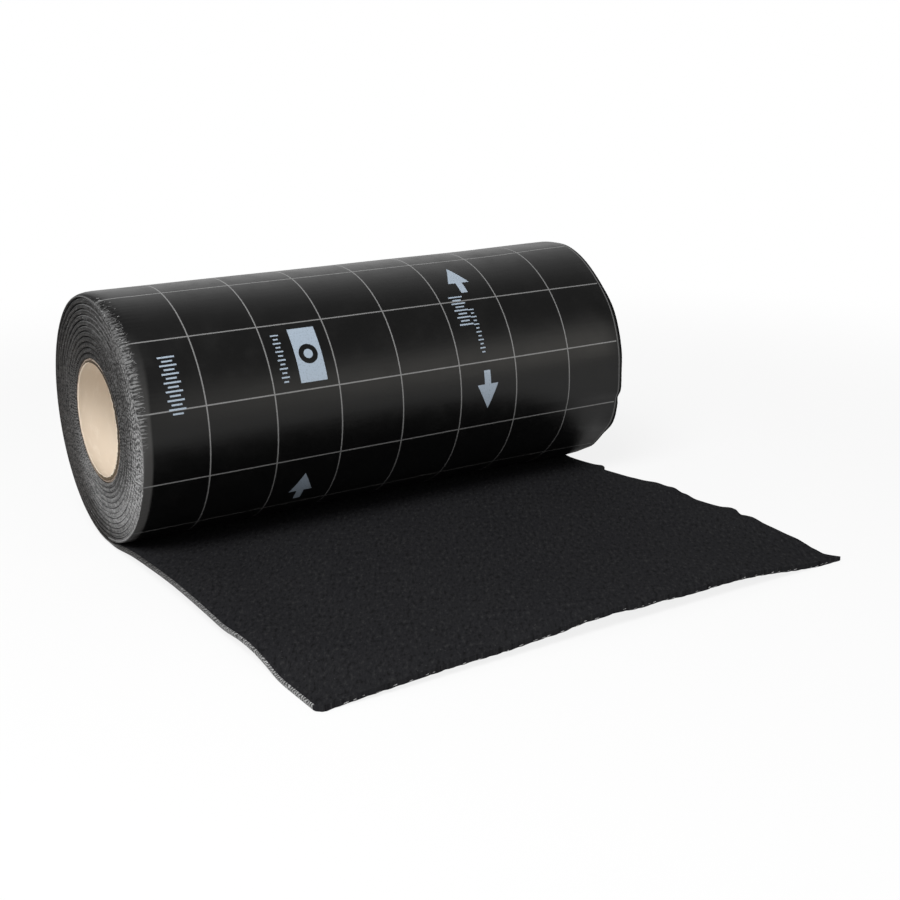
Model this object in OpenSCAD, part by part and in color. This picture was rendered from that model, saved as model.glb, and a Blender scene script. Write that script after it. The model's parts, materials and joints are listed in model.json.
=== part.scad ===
// Roll of flexible lead-free flashing: one long sheet wound on a cardboard core,
// with its free end unrolled over the floor in front of the roll.
// The roll's axis is along X, the free end points to -Y, and the floor is at z = 0.
// The origin is on the floor under the roll's axis, halfway along the roll.

/* [Sheet] */
// Width of the sheet, which is the length of the roll
sheet_w = 400; // [200:10:600]
// Thickness of the sheet
sheet_t = 3.5; // [3:0.1:5]
// Radius of the sheet's long edges on the film side, which is the outer side of the roll
film_edge_r = 2.8; // [0.5:0.1:2.9]

/* [Winding] */
// Number of turns on the core
turns = 13; // [4:1:30]
// Slack between one turn and the next
turn_slack = 0.1; // [0:0.05:0.4]
// Width of the groove between two turns on the ends of the roll
groove_w = 1.8; // [0.6:0.1:2.4]
// Depth of the groove between two turns on the ends of the roll
groove_d = 1.4; // [0.5:0.1:4]

/* [Free end] */
// Length of the free end, from under the roll's axis to its cut edge
tail_l = 325; // [120:1:800]
// Radius of the two corners of the free end
tail_corner_r = 7; // [1:0.5:30]

/* [Core] */
// Bore of the cardboard core
core_bore_d = 82; // [50:1:152]
// Wall of the cardboard core
core_wall = 3; // [2:0.5:12]
// Depth at which each end of the core lies inside the end of the roll
core_recess = 1; // [0.5:0.5:10]
// Radial clearance between the core and the innermost turn
core_fit = 0.2; // [0.1:0.05:0.5]

/* [Hidden] */
$fn = 96;
sheet_color = [0.15, 0.15, 0.16];
core_color = [0.82, 0.72, 0.58];
cut_margin = 1;
turn_pitch = sheet_t + turn_slack;
core_r = core_bore_d / 2 + core_wall;
winding_bore_r = core_r + core_fit;
roll_r = winding_bore_r + turns * turn_pitch;

// Inner radius of a turn, counted from 0 at the core
function turn_r(i) = winding_bore_r + i * turn_pitch;

// One end of the winding as (radius, height) points: each turn has a flat land
// between two sloping sides, so that a groove lies between it and the next turn
function end_outline(height) = [
    for (i = [0 : turns - 1]) each [
        [turn_r(i), height - groove_d],
        [turn_r(i) + groove_w / 2, height],
        [turn_r(i + 1) - groove_w / 2, height]
    ],
    [roll_r, height]
];

// The other end, from the outside in, so that the two ends make one closed outline
function mirrored_end(points) = [
    for (i = [len(points) - 1 : -1 : 0]) [points[i].x, -points[i].y]
];

// What is cut away outside a rounded corner with its centre at the origin
module corner_waste(r) {
    difference() {
        square(r + cut_margin);
        circle(r);
    }
}

// Half section of all the turns, with both rims of the outer turn rounded
module winding_section() {
    end = end_outline(sheet_w / 2);
    difference() {
        polygon(concat(end, mirrored_end(end)));
        for (side = [0, 1])
            mirror([0, side])
                translate([roll_r - film_edge_r, sheet_w / 2 - film_edge_r])
                    corner_waste(film_edge_r);
    }
}

// Section across the flat sheet: its film side is down, with both long edges rounded
module sheet_section() {
    difference() {
        translate([-sheet_w / 2, 0])
            square([sheet_w, sheet_t]);
        for (side = [0, 1])
            mirror([side, 0])
                translate([sheet_w / 2 - film_edge_r, film_edge_r])
                    mirror([0, 1])
                        corner_waste(film_edge_r);
    }
}

// The free end, flat on the floor, with its two corners rounded
module free_end() {
    difference() {
        rotate([90, 0, 0])
            linear_extrude(tail_l)
                sheet_section();
        for (side = [0, 1])
            mirror([side, 0, 0])
                translate([sheet_w / 2 - tail_corner_r, tail_corner_r - tail_l, -cut_margin])
                    mirror([0, 1, 0])
                        linear_extrude(sheet_t + 2 * cut_margin)
                            corner_waste(tail_corner_r);
    }
}

// The whole sheet: the turns on the core and the free end, in one piece
module flashing_roll() {
    color(sheet_color)
        union() {
            translate([0, 0, roll_r])
                rotate([0, 90, 0])
                    rotate_extrude()
                        winding_section();
            free_end();
        }
}

// The cardboard tube that the sheet is wound on
module core_tube() {
    color(core_color)
        translate([0, 0, roll_r])
            rotate([0, 90, 0])
                rotate_extrude()
                    translate([core_bore_d / 2, core_recess - sheet_w / 2])
                        square([core_wall, sheet_w - 2 * core_recess]);
}

flashing_roll();
core_tube();
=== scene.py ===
import json
import math
from functools import partialmethod

import bmesh
import bpy
import numpy as np
from mathutils import Matrix, Vector

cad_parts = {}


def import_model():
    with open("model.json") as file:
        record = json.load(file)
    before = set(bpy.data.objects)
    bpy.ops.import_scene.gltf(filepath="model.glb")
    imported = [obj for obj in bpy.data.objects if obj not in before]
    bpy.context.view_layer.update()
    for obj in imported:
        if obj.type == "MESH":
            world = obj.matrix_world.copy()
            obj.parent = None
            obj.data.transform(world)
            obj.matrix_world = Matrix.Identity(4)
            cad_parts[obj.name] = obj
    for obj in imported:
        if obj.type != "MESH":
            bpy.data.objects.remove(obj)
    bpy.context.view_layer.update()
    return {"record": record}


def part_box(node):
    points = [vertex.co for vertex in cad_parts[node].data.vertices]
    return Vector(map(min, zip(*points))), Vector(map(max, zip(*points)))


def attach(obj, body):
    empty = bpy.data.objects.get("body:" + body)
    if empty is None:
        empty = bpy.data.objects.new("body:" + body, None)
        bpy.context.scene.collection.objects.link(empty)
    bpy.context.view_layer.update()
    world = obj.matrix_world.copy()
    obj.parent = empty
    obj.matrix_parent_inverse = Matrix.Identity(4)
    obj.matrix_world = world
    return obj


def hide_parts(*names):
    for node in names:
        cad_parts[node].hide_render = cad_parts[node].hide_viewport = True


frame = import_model()

MM = 0.001

# ======== sizes, from the frame
SHEET_LOW, SHEET_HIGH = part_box("flashing_roll")
CORE_LOW, CORE_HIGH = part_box("core_tube")
MOUNTS = {mount["name"]: mount for mount in frame["record"]["mounts"]}
ROLL_R = (SHEET_HIGH.z - SHEET_LOW.z) / 2
HALF_W = SHEET_HIGH.x
TAIL_L = -SHEET_LOW.y
CORE_R = (CORE_HIGH.z - CORE_LOW.z) / 2
CORE_HALF = CORE_HIGH.x
BORE_R = MOUNTS["core_bore"]["dims"]["r_mm"] * MM

# ======== sizes of the sheet
SHEET_T = 3.5 * MM
TURNS = 13
CORE_FIT = 0.2 * MM
TURN_PITCH = (ROLL_R - CORE_R - CORE_FIT) / TURNS
SPIRAL_TURNS = TURNS - 1
STEP_ANGLE = math.radians(75)
MESH_SHORT, MESH_LONG = 3.7 * MM, 10.0 * MM


# ======== small helpers
WAVE_SPREAD = (0.6, 1.8)


def smooth(t):
    """0 to 1 with level ends."""
    t = np.clip(t, 0, 1)
    return t * t * (3 - 2 * t)


def blend(first, second, share):
    return first + (second - first) * share


def fade_out(distance, reach):
    """1 at no distance, 0 from reach on."""
    return 1 - smooth(np.asarray(distance) / reach)


def wander(seed, wavelength, count=7):
    """A smooth random curve, about -1 to 1, made of sine waves round one wavelength."""
    rng = np.random.default_rng(seed)
    rates = math.tau / (wavelength * rng.uniform(*WAVE_SPREAD, count))
    phases = rng.uniform(0, math.tau, count)
    return lambda x: sum(np.sin(np.asarray(x) * r + p) for r, p in zip(rates, phases)) / math.sqrt(count)


def through(points, x):
    """A smooth curve through (place, height) points, level outside them."""
    places, heights = np.array(points, float).T
    slopes = np.gradient(heights, places)
    slopes[0] = slopes[-1] = 0
    x = np.clip(x, places[0], places[-1])
    i = np.clip(np.searchsorted(places, x, side="right") - 1, 0, len(places) - 2)
    step = places[i + 1] - places[i]
    t = (x - places[i]) / step
    return (heights[i] * (1 + 2 * t) * (1 - t) ** 2 + slopes[i] * step * t * (1 - t) ** 2
            + heights[i + 1] * t * t * (3 - 2 * t) + slopes[i + 1] * step * t * t * (t - 1))


def new_object(name, points, faces, parts, materials, fields=()):
    """A mesh object: parts are its faces' materials, fields its points' float attributes."""
    mesh = bpy.data.meshes.new(name)
    mesh.from_pydata(points, [], faces)
    for material in materials:
        mesh.materials.append(material)
    mesh.polygons.foreach_set("material_index", np.asarray(parts, np.int32))
    mesh.polygons.foreach_set("use_smooth", np.ones(len(faces), bool))
    for field, values in dict(fields).items():
        attribute = mesh.attributes.new(field, "FLOAT", "POINT")
        attribute.data.foreach_set("value", np.asarray(values, np.float32))
    mesh.update()
    return in_scene(name, mesh)


def in_scene(name, data):
    """A new object in the scene, made of a mesh, a lamp or a camera."""
    made = bpy.data.objects.new(name, data)
    bpy.context.scene.collection.objects.link(made)
    return made


def row_quads(here, there):
    """Faces between rows of points that close on themselves."""
    return np.stack([here, there, np.roll(there, -1, 1), np.roll(here, -1, 1)], -1).reshape(-1, 4).tolist()


def face_outwards(piece):
    """Turns a closed mesh's faces outwards."""
    work = bmesh.new()
    work.from_mesh(piece.data)
    bmesh.ops.recalc_face_normals(work, faces=work.faces)
    work.to_mesh(piece.data)
    work.free()


# ======== shader maths
class Value:
    """A socket in a material or the world. Arithmetic on it adds Math nodes."""

    def __init__(self, nodes, socket):
        self.nodes = nodes
        self.socket = socket

    def math(self, operation, *others, **settings):
        settings["operation"] = operation
        return self.nodes.node("ShaderNodeMath", settings, dict(enumerate((self, *others))))

    __add__ = __radd__ = partialmethod(math, "ADD")
    __mul__ = __rmul__ = partialmethod(math, "MULTIPLY")
    __sub__ = partialmethod(math, "SUBTRACT")
    __rsub__ = partialmethod(math, "MULTIPLY_ADD", -1.0)
    __truediv__ = partialmethod(math, "DIVIDE")
    __pow__ = partialmethod(math, "POWER")
    above = partialmethod(math, "GREATER_THAN")
    below = partialmethod(math, "LESS_THAN")
    least = partialmethod(math, "MINIMUM")
    most = partialmethod(math, "MAXIMUM")
    size = partialmethod(math, "ABSOLUTE")
    fract = partialmethod(math, "FRACT")
    sine = partialmethod(math, "SINE")
    clamped = partialmethod(math, "ADD", 0.0, use_clamp=True)

    def between(self, low, high):
        return self.above(low) * self.below(high)

    def wave(self):
        """0.5 at whole numbers, 0 halfway between them."""
        return (self.fract() - 0.5).size()

    def ramp(self, low, high):
        """0 at low, 1 at high, level outside them."""
        return self.nodes.node("ShaderNodeMapRange", {"interpolation_type": "SMOOTHSTEP"},
                               {"Value": self, "From Min": low, "From Max": high})


class Nodes:
    """The nodes of a material or of the world."""

    def __init__(self, tree):
        self.tree = tree

    def node(self, kind, settings=(), inputs=(), output=0):
        made = self.tree.nodes.new(kind)
        for name, value in dict(settings).items():
            setattr(made, name, value)
        for key, value in dict(inputs).items():
            if isinstance(value, Value):
                self.tree.links.new(value.socket, made.inputs[key])
            else:
                made.inputs[key].default_value = value
        return Value(self, made.outputs[output])

    def axes(self, vector, names):
        """Some of a vector's coordinates."""
        return (self.node("ShaderNodeSeparateXYZ", {}, {0: vector}, axis) for axis in names)

    def mix(self, amount, first, second):
        """A colour between two colours."""
        return self.node("ShaderNodeMix", {"data_type": "RGBA"}, {0: amount, 6: first, 7: second}, 2)

    def layers(self, color, *layers):
        """A colour with others laid over it: (amount, colour) of each."""
        for amount, over in layers:
            color = self.mix(amount, color, over)
        return color

    def mix_surfaces(self, amount, first, second, output):
        """Shows a surface between two surfaces at the output node of that name."""
        mixed = self.node("ShaderNodeMixShader", {}, {0: amount, 1: first, 2: second})
        self.tree.links.new(mixed.socket, self.tree.nodes[output].inputs["Surface"])


class Finish(Nodes):
    """One procedural material round a Principled shader."""

    def __init__(self, name, **constants):
        self.material = bpy.data.materials.new(name)
        self.material.use_nodes = True
        super().__init__(self.material.node_tree)
        self.shader = self.tree.nodes["Principled BSDF"]
        for socket, value in constants.items():
            self.shader.inputs[socket.replace("_", " ")].default_value = value

    def field(self, name):
        """A float attribute of the mesh."""
        return self.node("ShaderNodeAttribute", {"attribute_name": name}, output="Fac")

    def place(self):
        """The point's own coordinates, in metres."""
        return self.node("ShaderNodeTexCoord", output="Object")

    def round_axis(self):
        """Angle round the roll's axis from its top towards the back, and distance from the axis."""
        y, z = self.axes(self.place(), "YZ")
        z = z - ROLL_R
        return y.math("ARCTAN2", z), (y ** 2.0 + z ** 2.0) ** 0.5

    def vector(self, x, y):
        return self.node("ShaderNodeCombineXYZ", {}, {0: x, 1: y})

    def noise(self, vector, scale, detail=3.0, roughness=0.55):
        """Noise of one scale, or with a scale for each axis."""
        if isinstance(scale, tuple):
            vector = self.node("ShaderNodeVectorMath", {"operation": "MULTIPLY"}, {0: vector, 1: scale})
            scale = 1.0
        return self.node("ShaderNodeTexNoise", {},
                         {"Vector": vector, "Scale": scale, "Detail": detail, "Roughness": roughness})

    def feed(self, color, roughness=None, *bumps):
        """Links the shader's colour and roughness, and bumps: a height, its distance and its strength."""
        sockets = {"Base Color": color, "Roughness": roughness}
        for height, distance, strength in bumps:
            inputs = {"Height": height, "Distance": distance, "Strength": strength}
            if "Normal" in sockets:
                inputs["Normal"] = sockets["Normal"]
            sockets["Normal"] = self.node("ShaderNodeBump", {}, inputs)
        for socket, value in sockets.items():
            if value is not None:
                self.tree.links.new(value.socket, self.shader.inputs[socket])
        return self.material


def gray(level, warm=0.0):
    return (level * (1 + warm), level, level * (1 - warm), 1.0)


# ======== the sheet's path
# How much of its pitch a turn has lost at a share of the way round, from the floor up the back and over
TURN_DROP = [(0, 0), (0.2, 0.02), (0.44, 0.06), (0.56, 0.46), (0.75, 0.74), (1, 1)]


def turn_radius(angle):
    """Radius of the film side at an angle counted from the floor towards the back and on.

    Outer turns lose their pitch over the top and the front. Nearer to the core more of it goes in one step,
    so that the innermost turn lies on the core all round."""
    turn = np.minimum(np.floor(angle / math.tau), SPIRAL_TURNS - 1)
    share = (angle - turn * math.tau) / math.tau
    step = smooth(share * math.tau / STEP_ANGLE)
    inner = (turn + 1) / SPIRAL_TURNS
    return ROLL_R - TURN_PITCH * (turn + through(TURN_DROP, share) * (1 - inner) + step * inner)


END_ANGLE = math.tau * SPIRAL_TURNS
TAPER_ANGLE = END_ANGLE + STEP_ANGLE
THINNEST = 0.02


def tapered(angle):
    """Radius of the film side, and share of the full thickness: it runs out in a wedge at the core."""
    under = turn_radius(angle - math.tau) - SHEET_T
    beyond = angle > END_ANGLE
    share = np.clip((under - CORE_R - CORE_FIT) / SHEET_T, THINNEST, 1)
    return np.where(beyond, under, turn_radius(np.minimum(angle, END_ANGLE))), np.where(beyond, share, 1)


ANGLE_TABLE = np.linspace(0, TAPER_ANGLE, 24001)
MIDDLE_ANGLES = (ANGLE_TABLE[1:] + ANGLE_TABLE[:-1]) / 2
RUN_TABLE = np.append(0, np.cumsum(np.diff(ANGLE_TABLE) * tapered(MIDDLE_ANGLES)[0]))


def spiral_angle(run):
    """Angle round the roll at a length along the sheet."""
    return np.interp(run, RUN_TABLE, ANGLE_TABLE)


def spiral_run(angle):
    """Length along the sheet at an angle round the roll."""
    return np.interp(angle, ANGLE_TABLE, RUN_TABLE)


# Heights of the free end's edges over the floor, at distances in mm from the roll or across the sheet
LEFT_RISE = [
    (0, 0), (12, 0.5), (27, 2.6), (45, 4.7), (85, 6.8), (125, 7.7), (175, 6.3), (205, 5), (228, 6.4),
    (245, 6), (262, 3.6), (276, 0.8), (286, 0), (325, 0),
]
RIGHT_RISE = [
    (0, 0), (60, 0.2), (66, 0.7), (70, 0), (104, 0), (113, 0.5), (120, 1.2), (134, 3), (146, 3.2),
    (154, 3.9), (163, 2.3), (168, 2.3), (177, 1), (188, 1.2), (205, 2.3), (219, 4.4), (222, 4.1),
    (225.5, 2.2), (232, 2.6), (238, 3.1), (250, 1.5), (262, 0.7), (285, 0.3), (300, 0), (325, 0),
]
FRONT_RISE = [
    (-200, 0), (-165, 1.8), (-115, 3.8), (-80, 4.1), (-50, 5.6), (-38, 5.9), (-25, 7.6), (-10, 8),
    (4, 8.6), (21, 7.2), (37, 7.7), (53, 6.7), (67, 6.4), (87, 6.8), (112, 6.3), (139, 3.9), (150, 2.4),
    (165, 1), (178, 0), (200, 0),
]
LEFT_REACH, RIGHT_REACH, FRONT_REACH, TIP_REACH = 70 * MM, 55 * MM, 120 * MM, 14 * MM
TIP_PINCH = 0.2


def tail_rise(across, run):
    """Height of the free end over the floor."""
    out = -run / MM
    left = through(LEFT_RISE, out) * fade_out(across + HALF_W, LEFT_REACH)
    right = through(RIGHT_RISE, out) * fade_out(HALF_W - across, RIGHT_REACH)
    front = through(FRONT_RISE, across / MM) * fade_out(run + TAIL_L, FRONT_REACH)
    return np.maximum(left + right + front, 0) * MM


def path_point(across, run, depth):
    """The place of a point of the sheet: across it, along it, and deep under its film side."""
    flat = run < 0
    angle = spiral_angle(np.maximum(run, 0))
    film_radius, thickness = tapered(angle)
    radius = film_radius - depth * thickness - out_of_round(angle, across) + far_end_slack(angle, across)
    y = np.where(flat, run, radius * np.sin(angle))
    pinch = 1 - TIP_PINCH * fade_out(np.hypot(HALF_W - across, run + TAIL_L), TIP_REACH)
    height = tail_rise(across, np.minimum(run, 0)) + depth * pinch
    z = np.where(flat, height, ROLL_R - radius * np.cos(angle))
    return np.stack([np.broadcast_to(across, y.shape), y, z], -1)


# How far the outer turn stands off at its far end, and its lip besides, in mm, at degrees from the floor
FAR_SLACK = [
    (120, 0), (165, 0.9), (180, 0.8), (190, 2), (202, 1.5), (210, 0.8), (222, 0.1), (240, 0.2), (262, 0),
    (272, 0.3), (278, 1.4), (283, 2), (286, 1.3), (291, 2.4), (296, 3.3), (301, 3.6), (308, 2.8),
    (315, 2.3), (324, 2.5), (333, 3.2), (340, 4), (346, 3.2), (353, 1.2), (360, 0),
]
FAR_LIP = [
    (150, 0), (175, 0.1), (202, 0.3), (222, 0), (227, 0.4), (232, 1.2), (238, 2.3), (250, 2.2), (266, 2),
    (273, 1.2), (280, 1.6), (284, 2.2), (287, 0.8), (292, 1.4), (299, 3.2), (304, 3.2), (308, 2),
    (311, 1), (318, 1.2), (325, 1.6), (333, -2.6), (340, -3.6), (346, -3.2), (353, -1.2), (360, 0),
]
FAR_SLACK_FROM, LIP_FROM, TURNS_SLACK = 105 * MM, 195.5 * MM, 2.6


def far_end_slack(angle, across):
    """How far the turns stand off their spiral at the far end, less with each turn inwards."""
    degrees = np.degrees(angle % math.tau)
    slack = through(FAR_SLACK, degrees) * smooth((across - FAR_SLACK_FROM) / (HALF_W - FAR_SLACK_FROM))
    lip = through(FAR_LIP, degrees) * np.clip((across - LIP_FROM) / (HALF_W - LIP_FROM), 0, 1) ** 1.5
    return (slack + lip) * MM * np.clip(1 - angle / math.tau / TURNS_SLACK, 0, 1)


OUT_OF_ROUND, FLOOR_ANGLE = 0.3 * MM, 0.9
ROUND_WANDER, ALONG_WANDER = wander(11, 1.9), wander(12, 0.16)


def out_of_round(angle, across):
    """How far the roll lies inside its true spiral, the same for all turns, nothing at the floor."""
    turn = angle % math.tau
    off_floor = smooth(turn / FLOOR_ANGLE) * smooth((math.tau - turn) / FLOOR_ANGLE)
    uneven = 0.5 + 0.3 * ROUND_WANDER(turn) + 0.2 * ALONG_WANDER(across + turn * 0.02)
    return OUT_OF_ROUND * off_floor * uneven


# ======== the print on the film
TOP_RUN = spiral_run(math.pi)
# The measuring grid: its pitch, its lines' width, a line's place across, and one's distance from the top
GRID_PITCH, GRID_LINE = 50 * MM, 0.9 * MM
GRID_ACROSS_0, GRID_FROM_TOP = -152.4 * MM, 18 * MM
# The marks' sizes and places are in mm
ARROW_L, ARROW_HEAD_L, ARROW_HEAD_W, ARROW_SHAFT_W = 29.5, 19, 18.5, 5.6
# Arrows: centre across the sheet, tip's distance from the roll's top, which way the shaft lies from the tip
ARROWS = [(73, 31, 1), (71.5, 154, -1), (-78, 182, 1)]
# Rows of plain bars: centre across, first bar's distance from the top, number, pitch, length and width
BARS = [
    (-172.5, 81.5, 14, 3, 7.5, 1.2), (-172.5, 81.5, 7, 6, 12, 1.2),
    (-92, 76.5, 12, 3.1, 3.6, 1.1), (-92, 76.5, 6, 6.2, 6, 1.1),
    (62.5, 64, 9, 3, 7.5, 1.2), (62.5, 64, 5, 6, 12, 1.2),
    (71, 76.5, 12, 3.1, 2.8, 1), (71, 76.5, 6, 6.2, 4.6, 1),
]
# A plain tile: centre across, its distance from the top, width across, length along. The dark ring's radii
TILE = (-71, 93, 20.5, 40)
TILE_RING = (3.4, 7.2)
# The grid's last line by the far edge is fainter and a little further in
FAR_BORDER_FROM, FAR_BORDER_SHIFT, FAR_BORDER = 180 * MM, 0.7 * MM, 195.5 * MM


def print_lines(run, across):
    """1 on the lines of the measuring grid."""
    def line(coordinate, start):
        offset = ((coordinate - start) / GRID_PITCH + 0.5).wave()
        return (offset * GRID_PITCH).ramp(GRID_LINE * 0.72, GRID_LINE * 0.28)

    far = across.above(FAR_BORDER_FROM)
    lines = line(run, TOP_RUN + GRID_FROM_TOP) * across.below(FAR_BORDER)
    return lines.most(line(across + far * FAR_BORDER_SHIFT, GRID_ACROSS_0) * (1 - far * 0.45))


def print_marks(run, across):
    """1 on the direction arrows and the plain marks."""
    down, aside = (run - TOP_RUN) / MM, across / MM

    def arrow(centre, tip, way):
        back, side = (down - tip) * way, (aside - centre).size()
        head = back.between(0, ARROW_HEAD_L) * (side - back * (ARROW_HEAD_W / 2 / ARROW_HEAD_L)).below(0)
        return head.most(back.between(ARROW_HEAD_L, ARROW_L) * side.below(ARROW_SHAFT_W / 2))

    def bars(centre, first, count, pitch, length, width):
        along = (down - first) / pitch
        bar = (along + 0.5).wave().below(width / pitch / 2)
        return bar * along.between(-0.5, count - 0.5) * (aside - centre).size().below(length / 2)

    def tile(centre, middle, width, length):
        x, y = (aside - centre).size(), (down - middle).size()
        ring = ((x ** 2.0 + y ** 2.0) ** 0.5).between(*TILE_RING)
        return x.below(width / 2) * y.below(length / 2) * (1 - ring)

    marks = tile(*TILE)
    for shape, each in [(arrow, mark) for mark in ARROWS] + [(bars, mark) for mark in BARS]:
        marks = marks.most(shape(*each))
    return marks


# ======== finishes
GRID_COLOR, MARK_COLOR = gray(0.215), (0.36, 0.43, 0.51, 1.0)
# Shreds of mesh are dragged across the turns' ends in zigzags: how tightly small ones lie along each axis,
# the rows' pitch round the roll, and the zigzag's pitch outwards and its share of a row
END_STROKES = (500.0, 170.0, 430.0)
SHRED_PITCH, SHRED_RADIUS, ZIGZAG_PITCH, ZIGZAG_SHARE = 3.4 * MM, 72 * MM, 15 * MM, 0.42


def shred_rows(finish):
    """0 to 1 across each zigzag row of shreds on the roll's ends, 0.5 on average."""
    angle, radius = finish.round_axis()
    zigzag = (radius / ZIGZAG_PITCH).wave() * 4 - 1
    uneven = finish.noise(finish.place(), (60.0, 60.0, 110.0), 3.0, 0.6)
    row = angle * SHRED_RADIUS / SHRED_PITCH + zigzag * ZIGZAG_SHARE + uneven * 3.5
    return row.wave().ramp(0.025, 0.475)


def crest_highlight_line(finish, run):
    """A painted highlight: the pale line along the outer side of each turn's edge, broken here and there."""
    depth = finish.field("depth")
    broken = finish.noise(finish.vector(run, depth * SHEET_T * 0.3), 420.0, 3.0, 0.7).ramp(0.36, 0.56)
    line = (depth - finish.field("crest_depth")).size().ramp(0.15, 0.05)
    return line * finish.field("crest") * (broken * 0.8 + 0.2)


def film_finish():
    """Black satin film with a pale print, fine crepe and dust, torn open at its rim over the mesh."""
    finish = Finish("black_film", IOR=1.5, Specular_IOR_Level=0.5)
    run, across = finish.field("run"), finish.field("across")
    bare = finish.field("bare").clamped()
    inset = across + HALF_W
    torn = finish.field("torn") * (1 - inset / finish.field("torn_reach")).clamped()
    rubbed = finish.field("rubbed") * (inset / finish.field("rubbed_reach")).ramp(1.0, 0.72)
    flat = finish.vector(run, across)
    dust = finish.noise(flat, 55.0, 5.0, 0.65).ramp(0.42, 0.75)
    cloud = finish.noise(flat, 14.0, 3.0)
    scuff = finish.noise(flat, (900.0, 40.0, 1.0), 3.0, 0.7).ramp(0.70, 0.84)
    strokes = finish.noise(flat, (520.0, 150.0, 1.0), 2.0, 0.6)
    mottle = finish.noise(flat, 480.0, 4.0, 0.8)
    comb = (run / (MESH_SHORT / 1.5) + strokes * 1.4).wave().ramp(0.10, 0.40)
    shreds = finish.noise(finish.place(), END_STROKES, 3.0, 0.65)
    combed = finish.field("rubbed").ramp(0.3, 1.0)
    open_mesh = torn + strokes * (1.0 - combed * 0.5) + comb * (combed * 0.42 + 0.22)
    open_mesh = ((open_mesh - 1.08) * 5).clamped()
    # Torn bits are paler where bareness is high, and bareness is partly painted light
    bits = finish.mix(bare, gray(0.070), gray(0.25))
    light = (mottle * 0.5 + comb * 0.2 + shreds * 0.55 + shred_rows(finish) * 0.2).ramp(0.62, 0.88)
    border = finish.field("border") * inset.between(BORDER_FROM, BORDER_TO)
    cover = (finish.noise(flat, 900.0, 2.0, 0.6).ramp(0.25, 0.5) * 0.3 + 0.7) * (1 - open_mesh * 0.45)
    color = finish.layers(
        gray(0.0014), (dust * 0.5 + cloud * 0.3, gray(0.0030, 0.04)), (scuff * 0.2, gray(0.012)),
        (rubbed * 0.28, gray(0.13, 0.02)), (open_mesh, finish.mix(light, gray(0.008), bits)),
        # painted highlight along each turn's crest
        (crest_highlight_line(finish, run) * (1 - bare), gray(0.085)),
        ((print_lines(run, across) * cover).most(border), GRID_COLOR),
        (print_marks(run, across) * cover, MARK_COLOR))
    crepe = finish.noise(flat, (700.0, 385.0, 700.0), 3.0, 0.6)
    ridges = finish.noise(flat, (260.0, 28.0, 1.0), 3.0, 0.6)
    rough = 0.28 + cloud * 0.07 + dust * 0.07 + open_mesh * 0.35
    return finish.feed(color, rough, (crepe, 0.06 * MM, 0.3), (ridges, 0.22 * MM, 0.25),
                       ((strokes + mottle) * open_mesh, 0.6 * MM, 0.8))


def compound_finish():
    """The inner side: dark rubbery compound with a coarse grit, rolled out on a slant, and pale specks."""
    finish = Finish("grit_compound", IOR=1.45, Specular_IOR_Level=0.015)
    run, across = finish.field("run"), finish.field("across")
    flat = finish.vector(run, across)
    long = finish.vector((run * 0.85 + across * 0.53) * 0.42, across * 0.85 - run * 0.53)
    cloud = finish.noise(flat, 18.0, 4.0, 0.6)
    mottle = finish.noise(long, 400.0, 3.0, 0.6)
    grit = finish.noise(long, 700.0, 4.0, 0.75)
    cells = finish.node("ShaderNodeTexVoronoi", {}, {"Vector": flat, "Scale": 300.0})
    speck = cells.below(0.10) * finish.noise(flat, 70.0).above(0.53)
    color = finish.layers(
        (0.0155, 0.0157, 0.0178, 1.0), (cloud, (0.0210, 0.0210, 0.0226, 1.0)),
        (mottle.ramp(0.48, 0.34) * 0.55, gray(0.005)), (mottle.ramp(0.54, 0.70) * 0.5, gray(0.044)),
        (grit.ramp(0.46, 0.34) * 0.5, gray(0.005)), (grit.ramp(0.56, 0.70) * 0.38, gray(0.046)),
        (speck * 0.5, gray(0.10)))
    return finish.feed(color, 0.75 + cloud * 0.2, (grit, 0.5 * MM, 0.7), (mottle, 0.6 * MM, 0.5))


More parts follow.
